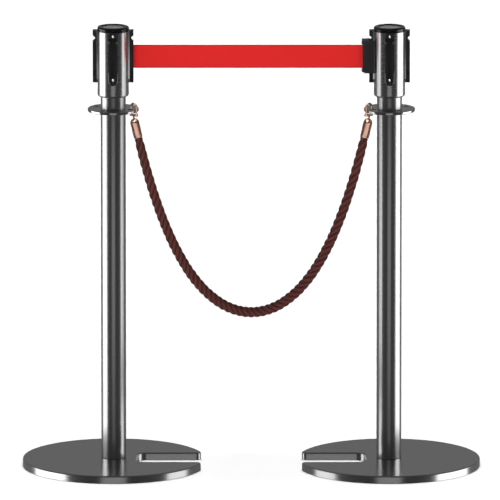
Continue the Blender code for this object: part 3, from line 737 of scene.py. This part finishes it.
def channel_body(name, place, nodes, slit):
    """The black plastic channel: a T-shaped groove between lips, with a scalloped notch."""
    low, high = CHANNEL_LOW.z, CHANNEL_HIGH.z
    half, face = CHANNEL_HALF - STEP_BACK, CHANNEL_FACE
    shoulder = LIP_END + half - TAIL_HALF
    tail = arc((0, low + TAIL_HALF), TAIL_HALF, 180, 360, 25)
    outline = [(half, high), (-half, high), (-half, shoulder), (-TAIL_HALF, LIP_END), *tail,
               (TAIL_HALF, LIP_END), (half, shoulder)]
    body = prism(name, [outline], RAIL_TOP + GAP / 2, face, ON_CHANNEL)
    inside = RAIL_HOLLOW - GAP
    fill = tongue_outline(inside, low + CHANNEL_HALF - inside, high)
    core = prism("core", [fill], HEAD_R - 0.004, RAIL_TOP + 0.0006, ON_CHANNEL)
    combine(body, [core], "UNION")
    cavity = block("cavity", (CAVITY_FLOOR, -CAVITY_HALF, CAVITY_LOW + 0.002),
                   (face - LIP, CAVITY_HALF, NOTCH_HIGH))
    opening = prism("opening", [tongue_outline(LIP_GAP, CAVITY_LOW, NOTCH_HIGH)],
                    CAVITY_FLOOR + 0.0004, face + 0.002, ON_CHANNEL)
    centre = face + 0.0015
    notch = drum("notch", NOTCH_R, (centre, -0.02, NOTCH_Z), (centre, 0.02, NOTCH_Z))
    seat_r, seat_z = SCREW_SEATS[0]
    well = drum("well", SCREW_R + 0.0005, (seat_r, 0, seat_z), (face + 0.002, 0, seat_z))
    cutters = [head_seat(), cavity, opening, notch, well]
    if slit:
        cutters.append(belt_slit(face))
    combine(body, cutters)
    show(soften(body, 0.0004, 2), place, "channel_plastic", nodes)


def channel_screws(name, place):
    """Two bright round screw heads with a cross recess, on the channel's floor."""
    rim, rise, sunk = 0.0006, 0.0017, -0.0006
    long, half, bottom, above = 0.0016, 0.00035, 0.0014, 0.003
    for number, (seat, height) in enumerate(SCREW_SEATS):
        dome = [(SCREW_R * math.cos(a), rim + rise * math.sin(a))
                for a in np.radians((65, 45, 25, 0))]
        outline = [(0.0, rim + rise), *dome, (SCREW_R, sunk), (0.0, sunk)]
        head = lathe(f"{name}_screw_{number + 1}", outline, steps=48)
        slots = [block("slot", (-long, -half, bottom), (long, half, above)),
                 block("slot", (-half, -long, bottom), (half, long, above))]
        combine(head, slots)
        turn = Matrix.Rotation(math.pi / 2, 4, "Y") @ Matrix.Rotation(math.radians(20), 4, "Z")
        show(smooth(head, 30), place @ Matrix.Translation((seat, 0, height)) @ turn, "bright_steel")


def channels(side):
    faces = {f"receiver_{key}": angle for key, angle in RECEIVERS[side].items()}
    faces["belt_outlet"] = OUTLET[side]
    for key, angle in faces.items():
        place = post_frame(side, angle)
        node = f"{side}_{key}"
        channel_rail(f"{node}_rail", place, [node])
        channel_body(f"{node}_channel", place, [node], key == "belt_outlet")
        channel_screws(node, place)


# ---- belt and clips

def belt_ribbon(name, length, steps):
    """A stretch of belt along +X from the origin: thin webbing with thicker bound edges."""
    low, high = BELT_LOW.z, BELT_HIGH.z
    half = (BELT_HIGH.y - BELT_LOW.y) / 2
    # How far in from the edge, and the share of the webbing's thickness there
    bound = [(0.0, 0.3), (0.0002, 0.85), (0.0007, 1.35), (0.0015, 1.4), (0.0021, 1.0)]
    rows = [(low + inset, share) for inset, share in bound]
    rows += [(z, 1.0) for z in np.linspace(low + 0.004, high - 0.004, 14)]
    rows += [(high - inset, share) for inset, share in bound[::-1]]
    outline = [(-half * share, z) for z, share in rows]
    outline += [(half * share, z) for z, share in rows[::-1]]
    bm = bmesh.new()
    rings = [[bm.verts.new((x, y, z)) for y, z in outline]
             for x in np.linspace(0, length, steps + 1)]
    for near, far in zip(rings, rings[1:]):
        join_rings(bm, near, far)
    for ring in (rings[0], rings[-1]):
        count = len(ring)
        for k in range(count // 2 - 1):
            bm.faces.new((ring[k], ring[k + 1], ring[count - 2 - k], ring[count - 1 - k]))
    return smooth(object_from(name, bm), 50)


def left_belt():
    """The pulled-out belt, on a mesh of its own."""
    length = BELT_HIGH.x - BELT_LOW.x
    belt = belt_ribbon("left_belt_webbing", length, 96)
    show(belt, Matrix.Translation((BELT_LOW.x, 0, 0)), "belt_red", ["left_belt_span"])
    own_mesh(belt)


def right_belt():
    """The short stretch of the right belt, laid along +Y from its post."""
    length = STUB_HIGH.y - STUB_LOW.y
    belt = belt_ribbon("right_belt_webbing", length, 48)
    turn = Matrix.Rotation(math.pi / 2, 4, "Z")
    belt.data.transform(Matrix.Translation((POST_X, STUB_LOW.y, 0)) @ turn)
    belt.data.materials.append(LOOKS["belt_red"])
    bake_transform(belt)
    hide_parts("right_belt_span")


def clip_side_outline(low, high):
    """The clip from the side: x from the channel's lips, and height."""
    chamfer, slope, margin = 0.0035, 0.0015, 0.0022
    recess_low, recess_high = BELT_LOW.z - margin, BELT_HIGH.z + margin
    return [
        (CHEEK_END, high), (CLIP_OUT, high), (CLIP_OUT, recess_high + slope),
        (CLIP_FACE, recess_high), (CLIP_FACE, recess_low), (CLIP_OUT, recess_low - slope),
        (CLIP_OUT, low + chamfer), (CLIP_OUT + 2 * chamfer, low), (CHEEK_END, low),
    ]


def clip_plan():
    """The clip from above, with its corners at the belt's end well rounded."""
    corner = 0.0045
    near = arc((CLIP_FACE + corner - 0.003, CLIP_HALF - corner), corner, 90, 180, 10)
    outline = [(CHEEK_END, CLIP_HALF), *near]
    outer = (CLIP_OUT, CLIP_HALF - corner - 0.002)
    outline += [outer, (outer[0], -outer[1])]
    outline += [(x, -y) for x, y in near[::-1]] + [(CHEEK_END, -CLIP_HALF)]
    return outline


def clip_housing(side, place):
    """A moulded clip: cheeks round the channel, a pin for the belt's loop, and a tongue."""
    low, high = PARKED_LOW.z, PARKED_HIGH.z
    turn = Matrix.Rotation(math.pi / 2, 4, "X")
    outline = clip_side_outline(low, high)
    housing = prism(f"{side}_clip_shell", [outline], -CLIP_HALF, CLIP_HALF, turn)
    plan = prism("plan", [clip_plan()], low - 0.01, high + 0.01)
    combine(housing, [plan], "INTERSECT")
    pocket = CHANNEL_HALF + GAP
    slot_low, slot_high, slot_half = BELT_LOW.z - CLIP_LIFT - GAP, BELT_HIGH.z + 0.0012, 0.001
    cutters = [
        block("pocket", (-GAP, -pocket, low - 0.01), (2 * CHEEK_END, pocket, high + 0.01)),
        drum("loop", 0.0032, (PIN_AT, 0, slot_low), (PIN_AT, 0, slot_high)),
        block("slot", (CLIP_OUT - 0.005, -slot_half, slot_low), (PIN_AT, slot_half, slot_high)),
        drum("pin", PIN_R + GAP, (PIN_AT, 0, PIN_LOW), (PIN_AT, 0, PIN_HIGH), 24),
    ]
    wide, deep, margin = 0.0007, 0.0004, 0.006       # grooves for the fingers on both cheeks
    for y in (-CLIP_HALF, CLIP_HALF):
        for x in (-0.0005, 0.0022, 0.0049, 0.0076):
            cutters.append(block("groove", (x, y - deep, low + margin),
                                 (x + wide, y + deep, high - margin)))
    combine(housing, cutters)
    stem_half, wing_half, wing_thick = 0.003, 0.0055, 0.0025
    under_lips = LIP + GAP
    tongue = [block("stem", (-0.001, -stem_half, TONGUE_LOW), (0.0040, stem_half, TONGUE_HIGH)),
              block("wings", (under_lips, -wing_half, TONGUE_LOW),
                    (under_lips + wing_thick, wing_half, TONGUE_HIGH))]
    combine(housing, tongue, "UNION")
    show(soften(housing, 0.0005, 3), place, "clip_plastic",
         [f"{side}_clip_housing"], f"{side}_belt_clip")


def clips():
    """The left belt's clip hooked on the right post, and the right one parked at the back."""
    clip_housing("left", Matrix.Translation((POST_X - CHANNEL_FACE, 0, 0)))
    parked = Matrix.Translation((POST_X, PARKED_HIGH.y - CHEEK_END, 0))
    clip_housing("right", parked @ Matrix.Rotation(math.pi / 2, 4, "Z"))


# ---- rope

def smooth_route(points, spacing):
    """Points about spacing apart on a smooth curve through the given points."""
    line = np.array(points)
    padded = np.vstack([2 * line[0] - line[1], line, 2 * line[-1] - line[-2]])
    fine = []
    for a, b, c, d in zip(padded, padded[1:], padded[2:], padded[3:]):
        for t in np.linspace(0.0, 1.0, 12, endpoint=False):
            fine.append(0.5 * (2 * b + (c - a) * t + (2 * a - 5 * b + 4 * c - d) * t ** 2
                               + (3 * b - a - 3 * c + d) * t ** 3))
    fine = np.array([*fine, line[-1]])
    along = np.concatenate([[0.0], np.cumsum(np.linalg.norm(np.diff(fine, axis=0), axis=1))])
    at = np.linspace(0.0, along[-1], round(along[-1] / spacing) + 1)
    return np.stack([np.interp(at, along, fine[:, k]) for k in range(fine.shape[1])], axis=1)


def rope_path():
    """Closely spaced points along the hanging line, just short of both ferrules' mouths."""
    right = [(x, ROPE_Y, z) for x, z in ROPE_ROUTE]
    left = [(-x, y, z) for x, y, z in right[:0:-1]]
    line = smooth_route(left + right, 0.0014)
    return line[1:-1]


def strand_radius(turn):
    """Radius of round strands pressed together, at an angle around the rope."""
    share = math.pi / STRANDS
    lobe = (turn + share) % (2 * share) - share
    centre = ROPE_R - STRAND_R
    return centre * math.cos(lobe) + math.sqrt(STRAND_R ** 2 - (centre * math.sin(lobe)) ** 2)


def rope():
    """Strands twisted to the right along the hanging line, tighter and thicker low down."""
    line = rope_path()
    around = 12 * STRANDS
    ahead = np.gradient(line, axis=0)
    ahead /= np.linalg.norm(ahead, axis=1)[:, None]
    side = np.array([0.0, 1.0, 0.0])
    travelled = np.concatenate([[0.0], np.cumsum(np.linalg.norm(np.diff(line, axis=0), axis=1))])
    outwards = np.abs(2 * travelled / travelled[-1] - 1)
    lays = LAY_MIDDLE + (LAY_END - LAY_MIDDLE) * outwards
    twisted = np.concatenate([[0.0], np.cumsum(np.diff(travelled) / lays[1:])])
    from_end = np.minimum(travelled, travelled[-1] - travelled)
    pinched = np.exp(-from_end / 0.012)      # near 1 only where a ferrule grips the rope
    girths = 1.09 - 0.14 * outwards - 0.14 * pinched
    turns = [2 * math.pi * k / around for k in range(around)]
    radii = [strand_radius(turn) for turn in turns]
    bm = bmesh.new()
    rings = []
    for centre, forward, share, girth in zip(line, ahead, twisted, girths):
        up = np.cross(forward, side)
        twist = -2 * math.pi * share
        rings.append([bm.verts.new(centre + girth * radius * (side * math.cos(turn + twist)
                                                              - up * math.sin(turn + twist)))
                      for turn, radius in zip(turns, radii)])
    uv = bm.loops.layers.uv.new("UVMap")
    for row, (near, far) in enumerate(zip(rings, rings[1:])):
        for k, face in enumerate(join_rings(bm, near, far)):
            corners = ((k, row), (k + 1, row), (k + 1, row + 1), (k, row + 1))
            for loop, (column, ring) in zip(face.loops, corners):
                loop[uv].uv = (column / around, twisted[ring])
    for ring in (rings[0], rings[-1]):
        bm.faces.new(ring)
    made = object_from("rope_strands", bm)
    show(smooth(made, 75), Matrix.Identity(4), "rope_brown", ["rope"])
    return made, line


def ferrule(side):
    """A drawn metal cup with a domed end, a rolled mouth and a set screw."""
    long, radius = FERRULE_LENGTH, FERRULE_R
    shoulder = long - radius - 0.001
    crown, neck, rolled, deep, hole_z = long - 0.0012, 0.0022, 0.0006, 0.0004, 0.0085
    dome = [(neck + (radius - neck) * math.cos(a), shoulder + (crown - shoulder) * math.sin(a))
            for a in np.radians(np.linspace(90, 0, 12))]
    mouth = arc((radius - rolled, rolled + GAP), rolled, 0, -90, 5)
    groove = [(radius, 0.0052), (radius - deep, 0.0049), (radius - deep, 0.0043), (radius, 0.0040)]
    profile = [(0.0, long), (0.0021, long), *dome, *groove, *mouth, (0.0, GAP)]
    cup = lathe(f"{side}_ferrule", profile, steps=64)
    combine(cup, [drum("screw_hole", 0.0014, (0, -0.02, hole_z), (0, -0.0080, hole_z), 32)])
    away = -SIDES[side]
    mouth = (SIDES[side] * POST_X + away * ROPE_END[0], ROPE_Y, ROPE_END[1])
    place = Matrix.Translation(mouth) @ Matrix.Rotation(-away * ROPE_TILT, 4, "Y")
    return show(smooth(cup, 30), place, "copper", [f"{side}_rope_ferrule"])


def snap_hook(side):
    """The hook's bow, bridge, barrel and swivel neck as one casting."""
    bow = (HOOK_OUTER - HOOK_INNER) / 2
    middle = (HOOK_OUTER + HOOK_INNER) / 2
    over = arc((middle, HOOK_BOW_Z), bow, 180, 0, 25)
    path = [(HOOK_INNER, 0.0, HOOK_LEG_LOW), *[(x, 0.0, z) for x, z in over],
            (HOOK_OUTER, 0.0, HOOK_TIP_LOW)]
    full = 14                # points before the bow starts to get thinner
    taper = [1.0] * full + [1.0 - 0.012 * k for k in range(len(path) - full)]
    hook = rod(f"{side}_hook", path, HOOK_R, taper)
    half = 0.0026
    bridge = block("bridge", (HOOK_INNER - HOOK_R, -half, BRIDGE_LOW), (HOOK_OUTER, half, BRIDGE_HIGH))
    soften(bridge, 0.0012, 3)
    barrel = lathe("barrel", chamfered(0.0036, 0.0006, BARREL_LOW, BARREL_HIGH), 48)
    barrel.data.transform(Matrix.Translation((HOOK_OUTER, 0, 0)))
    # The swivel neck, from inside the bridge down to the ferrule's crown
    profile = [(0.0, 0.7300), (0.0030, 0.7300), (0.0026, 0.7288), (0.0018, 0.7278),
               (0.0017, 0.7266), (0.0022, 0.7254), (0.0, 0.7254)]
    neck = lathe("neck", profile, 32)
    neck.data.transform(Matrix.Translation((NECK_X, 0, 0)))
    combine(hook, [bridge, barrel, neck], "UNION")
    below, above = (HOOK_OUTER, 0, BARREL_LOW - 0.01), (HOOK_OUTER, 0, BARREL_HIGH + 0.002)
    combine(hook, [drum("bore", BOLT_R + GAP, below, above, 32)])
    return show(smooth(hook, 40), post_frame(side, hook_angle(side)), "copper",
                [f"{side}_rope_hook"])


def hook_bolt(side):
    """The sliding bolt, with a thumb lug."""
    chamfer = 0.0003
    profile = [(0.0, BOLT_HIGH), (BOLT_R - chamfer, BOLT_HIGH), (BOLT_R, BOLT_HIGH - chamfer),
               (BOLT_R, BOLT_LOW), (0.0, BOLT_LOW)]
    bolt = lathe(f"{side}_bolt", profile, 32)
    out, half, lug_low, lug_high = 0.0050, 0.0012, 0.7452, 0.7468
    lug = soften(block("lug", (0.0, -half, lug_low), (out, half, lug_high)), 0.0004, 3)
    combine(bolt, [lug], "UNION")
    place = post_frame(side, hook_angle(side)) @ Matrix.Translation((HOOK_OUTER, 0, 0))
    return show(smooth(bolt), place, "copper", [f"{side}_hook_bolt"],
                f"{side}_hook_slider")


def rope_set():
    """The rope with its ferrules, hooks and bolts, none of which the posts reflect."""
    made, line = rope()
    hardware = []
    for side in SIDES:
        hardware += [ferrule(side), snap_hook(side), hook_bolt(side)]
    for piece in (made, *hardware):
        piece.visible_glossy = False        # the photo shows none of them in the posts


# ---- studio

def card(name, place, towards, size, radiance, lit):
    """A soft light of one width and height, on one collection's pieces, unseen by the camera."""
    width, height = size
    light = bpy.data.lights.new(name, "AREA")
    light.shape = "RECTANGLE"
    light.size, light.size_y = width, height
    light.energy = radiance * math.pi * width * height
    made = new_object(name, light)
    made.location = place
    made.rotation_euler = (Vector(towards) - Vector(place)).to_track_quat("-Z", "Y").to_euler()
    made.visible_camera = False
    made.light_linking.receiver_collection = lit


def stage_set():
    """A wide pale floor, and a white dome all around that only the camera sees."""
    bm = bmesh.new()
    bmesh.ops.create_grid(bm, x_segments=1, y_segments=1, size=400.0)
    floor = object_from("studio_floor", bm)
    floor.location.z = -0.0002
    floor_look()
    floor.data.materials.append(LOOKS["floor"])
    floor.visible_glossy = False
    floor.visible_shadow = False

    bm = bmesh.new()
    bmesh.ops.create_uvsphere(bm, u_segments=48, v_segments=24, radius=300.0)
    dome = object_from("studio_dome", bm)
    white = bpy.data.materials.new("studio_white")
    white.use_nodes = True
    shader = white.node_tree.nodes["Principled BSDF"]
    shader.inputs["Base Color"].default_value = (0.0, 0.0, 0.0, 1.0)
    shader.inputs["Emission Color"].default_value = (1.0, 1.0, 1.0, 1.0)
    shader.inputs["Emission Strength"].default_value = 1.0
    dome.data.materials.append(white)
    dome.visible_glossy = False
    dome.visible_diffuse = False
    dome.visible_shadow = False
    dome.visible_transmission = False
    return floor


def lit_by(name, wanted):
    """A collection of the pieces whose names pass a test, for lights to be linked to."""
    group = bpy.data.collections.new(name)
    for thing in bpy.context.scene.objects:
        if thing.type == "MESH" and wanted(thing.name):
            group.objects.link(thing)
    return group


def studio():
    """Soft cards low around each post draw its bands. Others light small parts, or hang overhead."""
    floor = stage_set()
    hardware = ("ferrule", "hook", "_bolt")
    copper = lit_by("lit_copper", lambda name: any(word in name for word in hardware)
                    and "base" not in name)
    mirrors = ("studio", "cover_shell", "cap_shell", "head_shell", "_tube", "ring_plate",
               "rope_strands")
    whole = lit_by("lit_from_above", lambda name: not any(word in name for word in mirrors))
    belt_side = ("left_belt_outlet_rail", "right_receiver_inner_rail")
    rails = lit_by("lit_rails", lambda name: name in belt_side)
    screws = lit_by("lit_screws", lambda name: "_front_screw" in name)
    rope_only = lit_by("lit_rope", lambda name: name == "rope_strands")
    far = 5.0
    for side, sign in SIDES.items():
        post = lit_by(f"lit_{side}", lambda name: name.startswith(side) and name not in copper.objects)
        x = sign * POST_X
        centre = (x, 0.0, 0.3)
        card(f"{side}_outer_card", (x + sign * far, -0.1, -0.5), centre, (5.0, 3.4), 2.3, post)
        card(f"{side}_inner_card", (x - sign * far, -0.2, -0.5), centre, (3.0, 3.4), 1.35, post)
        card(f"{side}_front_card", (x, -far, -0.4), centre, (2.7, 1.8), 0.36, post)
        card(f"{side}_back_card", (x, far, -0.4), centre, (2.7, 1.4), 0.36, post)
    head, ferrules, hanging = (0.0, 0.0, 0.8), (0.0, 0.0, 0.7), (0.0, 0.0, 0.5)
    card("rail_card", (0.0, -far, -0.3), head, (6.0, 3.0), 0.30, rails)
    card("screw_card", (0.0, -far, -0.1), head, (6.0, 4.0), 0.9, screws)
    card("copper_card", (0.0, -far, -0.6), ferrules, (16.0, 3.0), 0.9, copper)
    card("copper_back_card", (0.0, far, -0.6), ferrules, (5.0, 3.0), 0.8, copper)
    card("rope_card", (0.0, -far, 0.5), hanging, (2.5, 2.5), 6.5, rope_only)
    card("rope_back_card", (0.0, far, 1.5), hanging, (2.5, 2.5), 5.0, rope_only)
    card("key", (-1.5, -4.0, 4.5), (0.0, 0.0, 0.4), (3.0, 3.0), 3.5, whole)
    card("top", (0.0, -0.5, 5.0), (0.0, 0.0, 0.0), (6.0, 6.0), 1.6, whole)
    floor_light(floor)
    dim_world()


def floor_light(floor):
    """A soft sun on the floor alone, which keeps it pale."""
    sun = bpy.data.lights.new("floor_sun", "SUN")
    sun.energy = 3.75
    sun.angle = math.radians(50)
    overhead = new_object("floor_sun", sun)
    overhead.location.z = 5.0
    ground = bpy.data.collections.new("lit_floor")
    ground.objects.link(floor)
    overhead.light_linking.receiver_collection = ground


def dim_world():
    """A faint grey surround, a little brighter towards the back."""
    world = bpy.data.worlds.new("studio")
    world.use_nodes = True
    nodes, links = world.node_tree.nodes, world.node_tree.links
    source = nodes.new("ShaderNodeTexCoord")
    place = nodes.new("ShaderNodeSeparateXYZ")
    fade = nodes.new("ShaderNodeMapRange")
    fade.inputs["From Min"].default_value = -1.0
    fade.inputs["To Min"].default_value = 0.04
    fade.inputs["To Max"].default_value = 0.18
    links.new(source.outputs["Generated"], place.inputs["Vector"])
    links.new(place.outputs["Y"], fade.inputs["Value"])
    links.new(fade.outputs["Result"], nodes["Background"].inputs["Color"])
    bpy.context.scene.world = world


# ---- the whole set

def dress_cad_nodes():
    """Gives every CAD node the procedural material of its slot."""
    slots = {part["node"]: part["material_slot"] for part in frame["record"]["subparts"]}
    for name, thing in frame["nodes"].items():
        thing.data.materials.clear()
        thing.data.materials.append(LOOKS[slots[name]])


def make_looks():
    """Makes the pieces' materials and those of the CAD record's slots."""
    brushed("tube_steel", (0.60, 0.60, 0.61), 0.28, (50, 50, 4000), 0.5)
    brushed("head_steel", (0.64, 0.64, 0.65), 0.25, (50, 50, 4000), 0.5)
    brushed("base_steel", (0.56, 0.56, 0.57), 0.18, (30, 2500, 2500))
    brushed("rail_steel", (0.72, 0.72, 0.73), 0.22, (2000, 2000, 50))
    metal("ring_steel", (0.60, 0.60, 0.61), 0.10)
    brushed("brushed_steel", (0.56, 0.56, 0.57), 0.2, (50, 50, 3000))
    metal("polished_steel", (0.60, 0.60, 0.61), 0.12)
    metal("bright_steel", (0.85, 0.85, 0.86), 0.22)
    metal("zinc_steel", (0.55, 0.56, 0.58), 0.35)
    metal("cast_aluminium", (0.62, 0.62, 0.64), 0.38, 500.0)
    metal("spring_steel", (0.20, 0.22, 0.28), 0.30)
    metal("rose_copper", (0.83, 0.48, 0.36), 0.16)
    metal("copper", (0.83, 0.48, 0.36), 0.22)
    cast_iron()
    rubber()
    plastic("black_plastic", (0.012, 0.012, 0.013), 0.38, 0.00002)
    plastic("channel_plastic", (0.008, 0.008, 0.009), 0.30, 0.00001)
    plastic("clip_plastic", (0.014, 0.014, 0.016), 0.42, 0.00003)
    plastic("black_gloss", (0.005, 0.005, 0.005), 0.14, 0.000002, 0.2)
    plastic("grey_plastic", (0.20, 0.20, 0.20), 0.25, 0.000004)
    belt_webbing()
    rope_strands()


bpy.context.scene.view_settings.view_transform = "Standard"
make_camera()
make_looks()
dress_cad_nodes()
rope_set()
for side in SIDES:
    base_cover(side)
    post_tube(side)
    rope_ring(side)
    head_tube(side)
    top_cap(side)
    channels(side)
clips()
left_belt()
right_belt()
studio()
